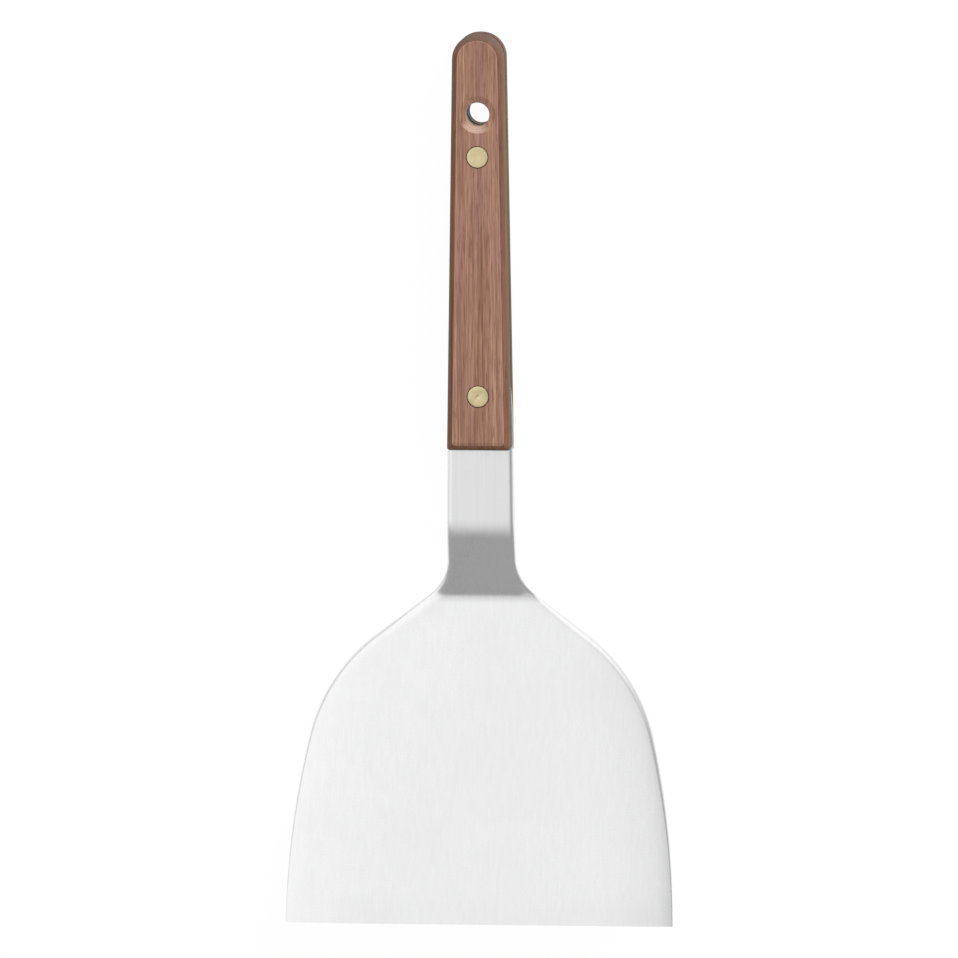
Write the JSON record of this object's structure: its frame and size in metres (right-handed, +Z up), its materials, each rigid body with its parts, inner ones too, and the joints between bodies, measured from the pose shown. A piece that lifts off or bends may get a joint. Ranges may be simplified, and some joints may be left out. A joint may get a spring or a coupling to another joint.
{
  "type": "teppanyaki turner",
  "caption": "Flat-bladed steel griddle turner with rounded shoulders, a cranked neck and a riveted wooden handle with a hanging hole.",
  "frame": {"origin": "middle of the outer box in X and Y, at the height of the handle's back face and the heel's underside", "axes": "+Y along the tool from the blade's front edge to the handle's round end, +X across the blade, +Z up out of the face that shows the rivet tubes"},
  "size_m": [0.1302, 0.2985, 0.0213],
  "materials": {
    "steel": "fine satin grind along the blade, with polished round edges",
    "wood": "sanded reddish-brown hardwood with dark pores, oiled",
    "brass": "turned pale brass with fine rings"
  },
  "bodies": {
    "root": {"blade_and_tang": "steel", "top_scale": "wood", "bottom_scale": "wood", "neck_rivet_tube": "brass", "neck_rivet_pin": "brass", "end_rivet_tube": "brass", "end_rivet_pin": "brass"}
  },
  "joints": []
}
